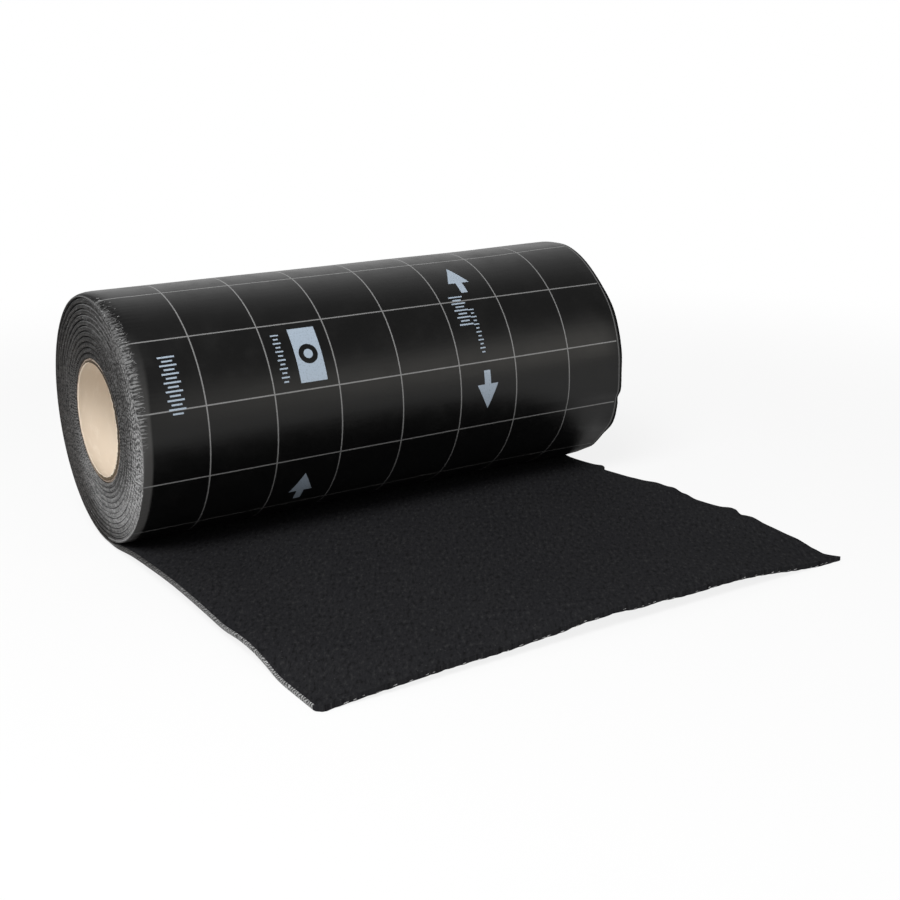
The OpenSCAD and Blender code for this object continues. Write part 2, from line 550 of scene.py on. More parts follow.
def cut_edge_finish():
    """A cut edge: compound smeared over the mesh, which shows as pale chevrons where it was cut cleanly. Its
    paler tones also carry painted light from the bareness field.
    """
    finish = Finish("cut_edge", IOR=1.5, Specular_IOR_Level=0.22)
    run, depth = finish.field("run"), finish.field("depth")
    bare = finish.field("bare").clamped()
    along = finish.vector(run, depth * SHEET_T)
    rings = finish.field("rings")
    coarse = finish.noise(along, 380.0, 3.0, 0.7)
    fine = finish.noise(along, 1500.0, 3.0, 0.7)
    shreds = finish.noise(finish.place(), END_STROKES, 3.0, 0.65)
    lean = (depth - 0.5).size() * (SHEET_T / MESH_SHORT) * 1.5
    drift = finish.noise(along, 90.0, 2.0)
    chevron = (run / MESH_SHORT * 1.5 + lean + coarse * 1.6 + drift * 5.0).wave().ramp(0.36, 0.10)
    chevron = chevron * (1 - rings * 0.7)
    on_roll = run.ramp(-JOIN_REACH, 0.0)
    rows = shred_rows(finish) * (1 - rings) * on_roll + chevron * (1 - on_roll)
    silver = chevron * 0.22 + rows * 0.42 + coarse * 0.35 + shreds * 0.62 + fine * 0.25 + rings * 0.22
    silver = silver.ramp(0.66, 1.10)
    on_film = (depth - finish.field("film_depth")).ramp(0.02, -0.06) * (1 - bare * 0.5)
    torn = finish.field("torn") * (shreds * 0.7 + coarse * 0.6).ramp(0.58, 0.80)
    # Dark and pale tones follow bareness, which is partly painted light: paler towards the lower front of
    # the roll's end and the front of the free end
    dark = finish.mix(bare, (0.0065, 0.006, 0.006, 1.0), gray(0.060))
    pale = finish.mix(bare, (0.050, 0.046, 0.043, 1.0), gray(0.38))
    shred = finish.mix(bare, gray(0.14), gray(0.30))
    # Painted highlight: a pale line along each turn's crest
    crest = finish.mix(bare, gray(0.16), gray(0.40))
    film = finish.mix(torn, (0.012, 0.0115, 0.011, 1.0), shred)
    color = finish.layers(dark, (silver, pale), (on_film, film), (crest_highlight_line(finish, run) * 0.8, crest))
    height = (chevron * 0.5 + rows + coarse + fine * 0.4) * (1 - rings * 0.6)
    return finish.feed(color, 0.70 - silver * 0.2, (height, 0.6 * MM, 0.8))


def smear_finish():
    """Black compound squeezed over the far rim."""
    finish = Finish("edge_smear", Specular_IOR_Level=0.03)
    cloud = finish.noise(finish.place(), 300.0, 3.0, 0.7)
    color = finish.mix(cloud, gray(0.002), gray(0.008))
    return finish.feed(color, 0.8 + cloud * 0.15, (cloud, 0.4 * MM, 0.5))


def wire_finish():
    """Cut ends of the aluminium mesh, dulled by compound."""
    finish = Finish("mesh_wire", Metallic=0.25)
    cloud = finish.noise(finish.place(), 500.0, 2.0)
    color = finish.mix(cloud.ramp(0.35, 0.65), gray(0.10), gray(0.42))
    return finish.feed(color, 0.5 + cloud * 0.15)


# The butt seam of the core's paper lining winds round the bore: its pitch, width and depth in the bump
LINER_W, SEAM_W, SEAM_DEPTH = 96 * MM, 0.9 * MM, 1.5
# How far in from its mouths the lining goes from a darker tone to a paler one, with painted light deeper in,
# and where round the core its sawn end is painted darkest as shade, from the top
DEEP_LIGHT_REACH = 45 * MM
SHADED_SIDE = math.radians(-52)


def liner_finish():
    """Pale paper that lines the core, wound on a slant, with its seam and fibres. Deeper in it is painted
    paler, as painted light where the bore is dim, and at its mouths it is darker.
    """
    finish = Finish("core_liner_paper", Specular_IOR_Level=0.25)
    spin, _ = finish.round_axis()
    reach = finish.field("across")
    lead = (reach / LINER_W + spin / math.tau).fract()
    seam = (lead.least(1 - lead) * LINER_W).ramp(SEAM_W, SEAM_W * 0.2)
    fibre = finish.noise(finish.place(), (260, 73, 73), 5.0, 0.7)
    cloud = finish.noise(finish.place(), (20, 29, 29), 3.0)
    # Painted light: the lining is paler deeper in the bore and darker at its mouths
    deep_painted_light = (CORE_HALF - reach.size()).ramp(0.0, DEEP_LIGHT_REACH)
    mouth_tone = finish.mix(cloud, (0.64, 0.535, 0.42, 1.0), (0.72, 0.62, 0.505, 1.0))
    deep_lit_tone = finish.mix(cloud, (0.88, 0.765, 0.63, 1.0), (0.92, 0.83, 0.705, 1.0))
    color = finish.layers(mouth_tone, (deep_painted_light, deep_lit_tone), (fibre.ramp(0.5, 0.75) * 0.35, (0.86, 0.77, 0.66, 1.0)),
                          (seam * 0.35, (0.42, 0.30, 0.19, 1.0)))
    return finish.feed(color, 0.82 - cloud * 0.1, (fibre - seam * SEAM_DEPTH, 0.12 * MM, 0.5))


def ply_finish():
    """The core's sawn end: brown plies with torn fibres, and at the back the lining turned out over them.
    Painted shade darkens its upper front and the outer edge of its wall.
    """
    finish = Finish("core_board_plies", Specular_IOR_Level=0.2)
    wall = finish.field("wall")
    spin, _ = finish.round_axis()
    ragged = wall + (finish.noise(finish.place(), (200, 341, 341), 4.0, 0.7) - 0.5) * 0.5
    fibre = finish.noise(finish.place(), (1500, 2700, 2700), 4.0, 0.75)
    torn = fibre.ramp(0.4, 0.65)
    # Painted shade: the sawn end is darker round its upper front
    painted_shade_side = (spin + (math.pi / 2 - SHADED_SIDE)).sine().clamped()
    clumps = finish.noise(finish.place(), (300, 500, 500), 2.0).ramp(0.38, 0.56)
    outwards = ragged - painted_shade_side * 0.10
    band = (outwards - 0.68).size().ramp(0.18, 0.06)
    back = spin.sine().clamped()
    lining = (back * 0.55 - 0.02 - ragged).ramp(-0.05, 0.08) * back.ramp(0.05, 0.3)
    rim = (-0.60 - ragged).ramp(-0.10, 0.10) * (clumps * 0.65 + 0.35)
    brown = finish.layers((0.050, 0.034, 0.018, 1.0), (torn, (0.20, 0.150, 0.095, 1.0)),
                          (painted_shade_side * 0.8, (0.013, 0.009, 0.007, 1.0)))
    tan = finish.layers((0.20, 0.15, 0.12, 1.0), (torn, (0.46, 0.38, 0.33, 1.0)),
                        (clumps * painted_shade_side * 0.7, (0.66, 0.57, 0.47, 1.0)))
    # The outer edge of the wall is painted near black, as shade in the gap to the winding
    color = finish.layers(
        brown, (band, tan), (outwards.ramp(0.84, 0.95), (0.020, 0.012, 0.010, 1.0)),
        (lining, (0.62, 0.52, 0.42, 1.0)), (rim, (0.86, 0.77, 0.64, 1.0)),
        (fibre.ramp(0.60, 0.72) * 0.7, (0.60, 0.50, 0.40, 1.0)))
    return finish.feed(color, 0.85 - fibre * 0.1, (fibre + band * 0.5, 0.3 * MM, 0.6))


# ======== the sheet's edges
WRAP_POINTS, FACE_POINTS, EASE_POINTS = 5, 2, 3
N_EDGE = WRAP_POINTS + FACE_POINTS + EASE_POINTS
EASE_L, EASE_D, JOIN_REACH = 1.4 * MM, 0.9 * MM, 30 * MM
FILM_SETBACK = {-1: WRAP_POINTS - 1, 1: 0}
INNER_SETBACK = {-1: 0, 1: 0}
# Where the outer turn's edges go over into those of the turns under it
OUTER_TO = spiral_run(math.tau * 0.985)
OUTER_FADE = 12 * MM


def clock(run):
    """Degrees round the roll from its top, towards the front, at a length along the sheet: -180 to 180."""
    return np.degrees(spiral_angle(np.maximum(run, 0)) % math.tau) - 180


def outer_share(run):
    """1 on the free end and the outer turn, 0 on the turns under it."""
    return fade_out(np.maximum(run - OUTER_TO, 0), OUTER_FADE)


def on_tail(run):
    """0 on the roll, 1 on the free end."""
    return smooth(-run / JOIN_REACH)


# Where the edge was cut most cleanly, in degrees from the top, how cleanly, and how cleanly elsewhere, at
# radii in mm. These numbers are partly painted light: the roll's end is painted paler towards its lower
# front.
BARE_AND_LIGHT_CLOCK = [(48, 192), (60, 166), (70, 140), (80, 108), (91, 96)]
BARE_AND_LIGHT_LEVEL = [(48, 0.40), (60, 0.55), (70, 0.78), (82, 0.94), (91, 0.82)]
BARE_AND_LIGHT_LEAST = [(45, 0.13), (60, 0.12), (72, 0.07), (91, 0)]
# How cleanly the free end's edge was cut at the roll, and how much more at the front; the rise towards the
# front is partly painted light on its edges
TAIL_BARE_AND_LIGHT, TAIL_BARE_AND_LIGHT_RISE = 0.08, 1.0
# Where the turns show as separate rings, at degrees from the top; elsewhere the edge is a jumble of mesh
RINGS = [
    (-180, 1), (-150, 0.9), (-110, 0.75), (-70, 0.85), (-35, 1), (15, 1), (40, 0.35), (80, 0.1),
    (115, 0.2), (145, 0.9), (180, 1),
]
# How far the rings blur near the core, at degrees from the top, and between which radii in mm
RING_BLUR = [(-180, 0), (-150, 0.3), (-100, 0.8), (0, 1), (60, 0.8), (110, 0.3), (140, 0), (180, 0)]
RINGS_FROM, RINGS_TO = 54, 70
# The painted highlight on the crests stands out more on the outer turns
CREST_HIGHLIGHT_LEVEL = [(45, 0.5), (62, 0.7), (75, 1.1), (90, 1.6)]
# How much less cleanly the inner turns were cut over the top of the core; this is partly painted shade,
# darker there
TOP_DRAGGED_AND_SHADE = [(45, 0.16), (60, 0.14), (70, 0)]


def radius_mm(run):
    """Radius of the film side in mm, at each length along the sheet."""
    return turn_radius(spiral_angle(np.maximum(run, 0))) / MM


def ring_share(run):
    """How far the turns show as separate rings, 0 to 1."""
    apart = smooth((radius_mm(run) - RINGS_FROM) / (RINGS_TO - RINGS_FROM))
    return through(RINGS, clock(run)) * blend(1, apart, through(RING_BLUR, clock(run)))


def bareness_and_painted_light(run):
    """How cleanly the edge was cut, 0 to about 1: low where film and compound are dragged over it. It is
    partly painted light: higher towards the lower front of the roll's end and the front of the free end,
    lower over the core's top.
    """
    radius = radius_mm(run)
    away = np.radians(clock(run) - through(BARE_AND_LIGHT_CLOCK, radius))
    bare = through(BARE_AND_LIGHT_LEAST, radius) + through(BARE_AND_LIGHT_LEVEL, radius) * np.maximum(np.cos(away), 0) ** 1.5
    over_core = np.maximum(np.cos(np.radians(clock(run))), 0) ** 2
    bare = np.maximum(bare - through(TOP_DRAGGED_AND_SHADE, radius) * over_core, 0)
    return bare + (TAIL_BARE_AND_LIGHT + TAIL_BARE_AND_LIGHT_RISE * smooth(-run / TAIL_L) - bare) * on_tail(run)


# The film's wrap over the near edge of the outer turn, at degrees from the top: width, depth and comb in mm
NEAR_WRAP_L = [
    (-180, 7), (-90, 7), (-30, 8), (0, 12), (20, 12.5), (40, 10), (70, 9), (90, 6.5), (180, 6.5),
]
NEAR_WRAP_D = [(-180, 2.7), (-60, 2.7), (0, 3.1), (20, 3), (35, 2.5), (70, 2.2), (88, 0.9), (180, 0.9)]
NEAR_COMB = [
    (-180, 0.03), (-20, 0.03), (8, 0.12), (22, 0.34), (58, 0.28), (74, 0.14), (88, 0.03), (180, 0.03),
]
# How far the film is torn open over the mesh there and how much it is rubbed, 0 to 1, and their reach in mm
NEAR_TORN = [
    (-180, 0.05), (-20, 0.05), (2, 0.35), (14, 0.8), (30, 1), (58, 1.1), (72, 1), (82, 0.82), (90, 0.4),
    (97, 0.1), (180, 0.05),
]
NEAR_TORN_REACH = [
    (-180, 4), (2, 4), (14, 8), (30, 11), (45, 11), (58, 9.5), (74, 8), (90, 7), (104, 5), (120, 4),
    (180, 4),
]
NEAR_RUBBED = [(-180, 0.2), (0, 0.1), (45, 0.15), (60, 0.6), (75, 1), (168, 1), (180, 0.2)]
NEAR_RUBBED_REACH = [(-180, 7), (45, 14), (60, 12.5), (75, 9.6), (100, 8.2), (180, 7.6)]
# Where the film's printed border shows along its very edge
NEAR_BORDER = [(-180, 0), (78, 0), (86, 0.55), (96, 0.6), (112, 0.3), (124, 0), (180, 0)]
BORDER_FROM, BORDER_TO = 0.2 * MM, 0.9 * MM
FAR_WRAP_L, FAR_WRAP_D, FAR_COMB = 1.7 * MM, 1.0 * MM, 0.02 * MM
# How far the outer turn's far edge lies in from its true line, in mm, at degrees from the top
FAR_DRAW = [
    (-180, 0.3), (-20, 0.4), (0, 0.1), (30, 0), (90, 0), (101, 0.1), (106, 0.9), (109, 0.1), (150, 0.2),
    (180, 0.3),
]
# The same for the free end, at distances in mm from the roll
TAIL_DRAW = [
    (0, 0.3), (14, 3.4), (46, 3.4), (54, 2.2), (62, 0.6), (68, 0), (73, 4), (80, 3.9), (90, 2.7),
    (98, 1.8), (106, 0.4), (325, 0.3),
]
NEAR_DRAW, NEAR_TAIL_DRAW = 0.12 * MM, 0.05 * MM
TAIL_WRAP_L, TAIL_WRAP_D = 0.9 * MM, 0.5 * MM
INNER_WRAP_L, INNER_WRAP_D = 2.6 * MM, 2.5
TOOTH = 0.62 * MM
TOOTH_REACH, COMB_REACH, RIPPLE_REACH = 2.5 * MM, 11 * MM, 2.2 * MM
# Random curves along both edges
DRAW_WANDER, DRAW_JITTER, PHASE_WANDER, SLANT_WANDER, TOOTH_WANDER = (
    {-1: wander(seed, wavelength), 1: wander(seed + 1, wavelength)}
    for seed, wavelength in [(21, 0.085), (23, 0.011), (25, 0.030), (27, 0.06), (29, 0.017)])


def edge_numbers(side, run):
    """One edge's wrap of film (width and depth), comb height and draw, at lengths along the sheet."""
    degrees, outer, flat = clock(run), outer_share(run), on_tail(run)
    bare, ringed = np.minimum(bareness_and_painted_light(run), 1), ring_share(run)
    if side < 0:
        outer_l, outer_d = through(NEAR_WRAP_L, degrees) * MM, through(NEAR_WRAP_D, degrees) * MM
        comb = through(NEAR_COMB, degrees) * MM * outer
        outer_draw, tail_draw = NEAR_DRAW, NEAR_TAIL_DRAW
    else:
        outer_l, outer_d, comb = FAR_WRAP_L, FAR_WRAP_D, FAR_COMB
        outer_draw, tail_draw = through(FAR_DRAW, degrees) * MM, through(TAIL_DRAW, -run / MM) * MM
    inner_l = INNER_WRAP_L * (1 - 0.6 * bare) * (0.45 + 0.55 * ringed)
    inner_d = (INNER_WRAP_D - 2.1 * bare) * (0.6 + 0.4 * ringed) * MM
    jitter = 0.20 * DRAW_WANDER[side](run) + 0.10 * DRAW_JITTER[side](run)
    inner_draw = (0.36 + jitter * (0.4 + 0.6 * ringed)) * MM
    wrap_l = blend(blend(inner_l, outer_l, outer), TAIL_WRAP_L, flat)
    wrap_d = blend(blend(inner_d, outer_d, outer), TAIL_WRAP_D, flat)
    draw = np.maximum(blend(blend(inner_draw, outer_draw, outer), tail_draw, flat), 0)
    return wrap_l, wrap_d, comb * (1 - flat), draw


def edge_row(side, run):
    """One long edge at each length along the sheet: (inset, depth) of its points, film side first.

    The film wraps over the edge along a quarter of an ellipse. Then come the cut face, rippled by the mesh,
    and the eased inner corner."""
    run = run[:, None]
    wrap_l, wrap_d, comb, draw = edge_numbers(side, run)
    bare = np.minimum(bareness_and_painted_light(run), 1)
    turn, ease = (np.linspace(0, math.pi / 2, count) for count in (WRAP_POINTS, EASE_POINTS))
    face = np.linspace(0, 1, FACE_POINTS + 2)[1:-1]
    ease_d = np.minimum(EASE_D * (1 - 0.65 * bare), (SHEET_T - wrap_d) * 0.6)
    face_d = SHEET_T - ease_d - wrap_d
    inset = np.concatenate([wrap_l * (1 - np.sin(turn)), 0 * face * face_d,
                            EASE_L * (1 - 0.5 * bare) * (1 - np.cos(ease))], 1)
    depth = np.concatenate([wrap_d * (1 - np.cos(turn)), wrap_d + face * face_d,
                            SHEET_T - ease_d * (1 - np.sin(ease))], 1)
    phase = math.tau * run / MESH_SHORT + 1.3 * PHASE_WANDER[side](run)
    slant = np.clip(2.5 * SLANT_WANDER[side](run), -1, 1) * math.pi
    tooth = 0.5 + 0.5 * np.sin(phase + slant * depth / SHEET_T)
    size = TOOTH * (0.10 + 0.90 * bare) * np.clip(0.8 + 0.5 * TOOTH_WANDER[side](run), 0.2, 1.3)
    size *= 1 - 0.85 * (on_tail(run) if side < 0 else outer_share(run))
    size *= 1 - 0.65 * ring_share(run)
    inset += draw + size * tooth * fade_out(inset, TOOTH_REACH)
    ripple = 1 - np.cos(phase + 0.8 + inset / RIPPLE_REACH)
    depth += (np.arange(N_EDGE) < WRAP_POINTS) * comb * ripple * fade_out(inset, COMB_REACH)
    return np.stack([inset, depth], -1)


# ======== the sheet's pieces
# How deep under the film side the painted crest highlight of an edge lies, at an inner turn and at the outer
# one
CREST_HIGHLIGHT_DEPTHS = (0.18, 0.76)


def row_layout(film_count, inner_count):
    """A row of points round the sheet's section: each one's side, and its share or place there."""
    film = [("film", share) for share in np.linspace(0, 1, film_count)]
    right = [("right", i) for i in range(1, N_EDGE - 1)]
    inner = [("inner", share) for share in np.linspace(0, 1, inner_count)]
    left = [("left", i) for i in range(N_EDGE - 2, 0, -1)]
    return film + right + inner + left


SAME_KEY = 1e-6


def row_keys(layout):
    """Where each point of a row lies on the way round, 0 to 4, for stitching rows together."""
    keys = {"film": lambda share: share * 0.999, "right": lambda i: 1 + i / N_EDGE,
            "inner": lambda share: 2 + share * 0.999, "left": lambda i: 4 - i / N_EDGE}
    return [keys[side](share) for side, share in layout]


def row_parts(layout, setback):
    """Material of the face after each point of a row: film 0, compound 1, cut edge 2, smear 3."""
    parts = []
    for (side, share), (next_side, next_share) in zip(layout, layout[1:] + layout[:1]):
        if side == next_side == "film":
            parts.append(0)
        elif side == next_side == "inner":
            parts.append(1)
        else:
            edge = 1 if "right" in (side, next_side) else -1
            place = {"film": 0, "inner": N_EDGE - 1}
            upper = min(place.get(side, share), place.get(next_side, next_share))
            smeared = edge > 0 and (upper < WRAP_POINTS - 1 or upper >= WRAP_POINTS + FACE_POINTS)
            parts.append(0 if upper < setback[edge] else 3 if smeared else 2)
    return parts


def sheet_rows(runs, layout):
    """Places and fields of all points of some rows that share a layout."""
    edges = {side: edge_row(side, runs) for side in (-1, 1)}
    count = len(layout)
    across, depth = np.zeros((2, len(runs), count))
    for k, (side, share) in enumerate(layout):
        if side in ("left", "right"):
            way = 1 if side == "right" else -1
            across[:, k] = way * (HALF_W - edges[way][:, share, 0])
            depth[:, k] = edges[way][:, share, 1]
        elif side == "film":
            low, high = (way * (HALF_W - edges[way][:, 0, 0]) for way in (-1, 1))
            across[:, k] = blend(low, high, share)
            depth[:, k] = edges[-1][:, 0, 1] * (share == 0) + edges[1][:, 0, 1] * (share == 1)
        else:
            low, high = (way * (HALF_W - edges[way][:, -1, 0]) for way in (-1, 1))
            across[:, k] = blend(high, low, share)
            depth[:, k] = SHEET_T
    run = np.repeat(runs[:, None], count, 1)
    across = across - tip_tuck(across, run)
    run = run + front_cut(across, run)
    bare = bareness_and_painted_light(runs)
    rings = ring_share(runs) * (1 - on_tail(runs))
    # The crest field is a painted highlight along each turn's crest
    by_row = {"bare": bare, "rings": rings, "crest": rings * through(CREST_HIGHLIGHT_LEVEL, radius_mm(runs)),
              "crest_depth": blend(*CREST_HIGHLIGHT_DEPTHS, outer_share(runs) * (1 - np.clip(bare * 1.5, 0, 1))),
              "film_depth": edge_numbers(-1, runs)[1] / SHEET_T, **film_wear(runs)}
    fields = {"run": run, "across": across, "depth": depth / SHEET_T}
    fields.update({name: values[:, None] + 0 * across for name, values in by_row.items()})
    return path_point(across, run, depth), fields


def film_wear(runs):
    """How far and how deep the film is torn open and rubbed along its near edge, and its border."""
    degrees, outer, on_roll = clock(runs), outer_share(runs), 1 - on_tail(runs)
    inner_torn = 0.10 + 0.42 * np.maximum(np.cos(np.radians(degrees - 70)), 0)
    return {"torn": blend(inner_torn, through(NEAR_TORN, degrees), outer) * on_roll,
            "torn_reach": blend(2 * HALF_W, through(NEAR_TORN_REACH, degrees) * MM, outer),
            "rubbed": blend(0.2, through(NEAR_RUBBED, degrees), outer) * on_roll,
            "rubbed_reach": blend(7, through(NEAR_RUBBED_REACH, degrees), outer) * MM,
            "border": through(NEAR_BORDER, degrees) * outer * on_roll}


FRONT_TOOTH, FRONT_DRIFT = wander(31, 0.012), wander(32, 0.09)
FRONT_DEPTH, CORNER_R, TUCK_FROM = 9 * MM, 5.5 * MM, 0.6
# How far the right edge lies in from its true line near the tip, in mm, at distances in mm from the front
TIP_TUCK = [
    (0, 3), (2, 4.2), (5, 6.7), (9.5, 9), (13.5, 8.5), (18.5, 7.5), (22.7, 7), (28, 5.3), (33, 4.1),
    (38, 2.8), (51, 1.5), (62, 0.3), (80, 0),
]


def tip_tuck(across, run):
    """How far the free end's right edge is drawn in behind its tip."""
    inward = smooth((across - TUCK_FROM * HALF_W) / ((1 - TUCK_FROM) * HALF_W))
    return np.maximum(through(TIP_TUCK, (run + TAIL_L) / MM), 0) * MM * inward


def front_cut(across, run):
    """How far the cut edge of the free end lies back from its true line, with both corners rounded."""
    tooth = (0.5 + 0.5 * np.cos(math.tau * across / MESH_LONG)) ** 2
    back = (0.25 + 0.55 * tooth + 0.22 * FRONT_TOOTH(across) + 0.2 * FRONT_DRIFT(across)) * MM
    back *= 1 - 0.7 * smooth((across - 150 * MM) / (30 * MM))
    into = np.clip(np.abs(across) - (HALF_W - CORNER_R), 0, CORNER_R)
    corner = CORNER_R - np.sqrt(np.maximum(CORNER_R ** 2 - into ** 2, 0))
    return (np.maximum(back, 0.05 * MM) + corner * 0.95) * fade_out(run + TAIL_L, FRONT_DEPTH)


def stitch(first, second, keys_a, keys_b, parts_a):
    """Faces between two closed rows with different numbers of points, in step with their keys."""
    faces, parts = [], []
    keys_a, keys_b = keys_a[1:] + [4.0, math.inf], keys_b[1:] + [4.0, math.inf]
    i = j = 0
    while i < len(first) or j < len(second):
        a, b = first[i % len(first)], second[j % len(second)]
        next_a, next_b = first[(i + 1) % len(first)], second[(j + 1) % len(second)]
        parts.append(parts_a[min(i, len(parts_a) - 1)])
        if abs(keys_a[i] - keys_b[j]) < SAME_KEY:
            faces.append((a, b, next_b, next_a))
            i, j = i + 1, j + 1
        elif keys_a[i] < keys_b[j]:
            faces.append((a, b, next_a))
            i += 1
        else:
            faces.append((a, b, next_b))
            j += 1
    return faces, parts


def end_cap(row, layout):
    """Closes the sheet at one of its two ends."""
    sides = {name: [row[k] for k, (side, _) in enumerate(layout) if side == name]
             for name in ("film", "right", "inner", "left")}
    film, inner = sides["film"], sides["inner"][::-1]
    if len(film) != len(inner):
        return [tuple(row)]
    faces = [(film[k], film[k + 1], inner[k + 1], inner[k]) for k in range(len(film) - 1)]
    faces.append((film[-1], *sides["right"], inner[-1]))
    faces.append((inner[0], *sides["left"], film[0]))
    return faces


def sheet_piece(name, stretches, materials, setback):
    """A closed mesh of the sheet over some stretches: lengths along the sheet, and their row layout."""
    points, fields, faces, parts = [], [], [], []
    start, last = 0, None

    def close(row, layout):
        cap = end_cap(row, layout)
        faces.extend(cap)
        parts.extend([1] * len(cap))

    for runs, layout in stretches:
        places, values = sheet_rows(runs, layout)
        points.append(places.reshape(-1, 3))
        fields.append(values)
        count = len(layout)
        rows = start + np.arange(len(runs))[:, None] * count + np.arange(count)
        if last is None:
            close(list(rows[0]), layout)
        else:
            row, before = last
            keys = row_keys(before), row_keys(layout)
            joint = stitch(row, list(rows[0]), *keys, row_parts(before, setback))
            faces += joint[0]
            parts += joint[1]
        faces += row_quads(rows[:-1], rows[1:])
        parts += row_parts(layout, setback) * (len(runs) - 1)
        start += len(runs) * count
        last = (list(rows[-1]), layout)
    close(*last)
    fields = {field: np.concatenate([part[field].ravel() for part in fields]) for field in fields[0]}
    piece = new_object(name, np.concatenate(points).tolist(), faces, parts, materials, fields)
    face_outwards(piece)
    piece.data.set_sharp_from_angle(angle=math.radians(60))
    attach(piece, "root")
    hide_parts("flashing_roll")


OUTER_END = spiral_run(math.tau)
# Points across the film side and the inner side: at the front cut, on the free end and on the turns
FRONT_ROW, TAIL_ROW, OUTER_ROW, INNER_ROW = (161, 161), (41, 41), (27, 3), (2, 2)
# The first rows' distances from the front cut
FRONT_RUNS = np.array([0, 0.4, 1.0, 2.2]) * MM


def outer_sheet(materials):
    """The free end and the outer turn."""
    tail = np.arange(-TAIL_L + 4 * MM, 0, MESH_SHORT / 3)
    turn = np.arange(tail[-1] + MESH_SHORT / 4, OUTER_END - 0.1 * MM, MESH_SHORT / 4)
    stretches = [(-TAIL_L + FRONT_RUNS, row_layout(*FRONT_ROW)), (tail, row_layout(*TAIL_ROW)),
                 (np.append(turn, OUTER_END), row_layout(*OUTER_ROW))]
    sheet_piece("flashing_sheet", stretches, materials, FILM_SETBACK)


def inner_turns(materials):
    """The turns under the outer one, down to the core."""
    runs = np.arange(OUTER_END, spiral_run(TAPER_ANGLE), MESH_SHORT / 3)
    sheet_piece("flashing_turns", [(runs, row_layout(*INNER_ROW))], materials, INNER_SETBACK)


# ======== cut ends of the mesh
# A strand's length, width and height
STRAND = np.array([2.2, 0.42, 0.22]) * MM
STRAND_SLANT = math.radians(42)
STRAND_FACES = [(0, 3, 2, 1), (0, 1, 5, 4), (1, 2, 5), (2, 3, 4, 5), (3, 0, 4)]
STEP = 0.4 * MM


def strand(origin, along, out, beside, sizes):
    """The points of a small ridge of metal that stands on a surface."""
    half_l, half_w, top = along * sizes[0] / 2, beside * sizes[1] / 2, out * sizes[2]
    return [origin - half_l - half_w, origin + half_l - half_w, origin + half_l + half_w,
            origin - half_l + half_w, origin - half_l * 0.7 + top, origin + half_l * 0.7 + top]


def unit(vectors):
    return vectors / np.linalg.norm(vectors, axis=-1, keepdims=True)


def edge_strands(rng, side):
    """A zigzag of cut ends along one long edge, where the film doesn't cover them."""
    runs = np.arange(-TAIL_L + 8 * MM, spiral_run(END_ANGLE) - 4 * MM, MESH_SHORT / 2)
    way = np.where(np.arange(len(runs)) % 2, 1, -1)
    places = runs + rng.uniform(-0.35, 0.35, len(runs)) * MM
    shapes = edge_row(side, places)
    bare = bareness_and_painted_light(places)
    wrap_end, ease_start = shapes[:, WRAP_POINTS - 1], shapes[:, N_EDGE - EASE_POINTS]
    middle = blend(wrap_end, ease_start, rng.uniform(0.35, 0.65, (len(runs), 1)))
    across = (side * (HALF_W - middle[:, 0] - 0.1 * MM))[:, None]
    across = across - tip_tuck(across, places[:, None])
    depths = middle[:, 1:]
    here = path_point(across, places[:, None], depths)[:, 0]
    forward = unit(path_point(across, places[:, None] + STEP, depths)[:, 0] - here)
    inward = unit(path_point(across, places[:, None], depths + STEP)[:, 0] - here)
    shown = rng.random(len(runs)) < np.where(places > 0, 0.10 + 0.95 * bare, 0.10)
    if side > 0:
        shown &= outer_share(places) < 0.5
    else:
        shown &= ~((outer_share(places) > 0.5) & (wrap_end[:, 1] > 2.0 * MM) & (places > 0))
    slants = way * STRAND_SLANT * rng.uniform(0.6, 1.3, len(runs))
    sizes = rng.uniform(0.6, 1.15, (len(runs), 3))
    for k in np.flatnonzero(shown):
        cosine, sine = math.cos(slants[k]), math.sin(slants[k])
        yield strand(here[k], forward[k] * cosine + inward[k] * sine, np.array([side, 0.0, 0.0]),
                     inward[k] * cosine - forward[k] * sine, STRAND * sizes[k] * (1, 1, 0.4 + 0.6 * bare[k]))


def comb_strands(rng):
    """Bits of mesh in the torn comb of the near rim."""
    for place in np.arange(0, OUTER_END, MESH_SHORT / 4):
        place += rng.uniform(-0.5, 0.5) * MM
        wrap_l, wrap_d, comb, draw = (float(number[0]) for number in edge_numbers(-1, np.array([place])))
        if comb < 0.1 * MM * rng.uniform(0.6, 3.0):
            continue
        turn = rng.uniform(0.25, 1.45) + np.array([0, 0.05, 0])
        inset, depth = draw + wrap_l * (1 - np.sin(turn)), wrap_d * (1 - np.cos(turn))
        trio = path_point(-HALF_W + inset, place + np.array([0, 0, STEP]), depth)
        down, forward = unit(trio[1] - trio[0]), unit(trio[2] - trio[0])
        out = unit(np.cross(forward, down))
        out *= np.sign(np.dot(out, trio[0] - np.array([trio[0][0], 0, ROLL_R])))
        slant = rng.choice([-1, 1]) * rng.uniform(0.3, 1.0) + 1.57
        sizes = [rng.uniform(0.4, 0.9), rng.uniform(0.5, 0.9), rng.uniform(0.3, 0.9)]
        yield strand(trio[0], forward * math.cos(slant) + down * math.sin(slant), out,
                     forward * math.sin(slant) - down * math.cos(slant), STRAND * sizes)


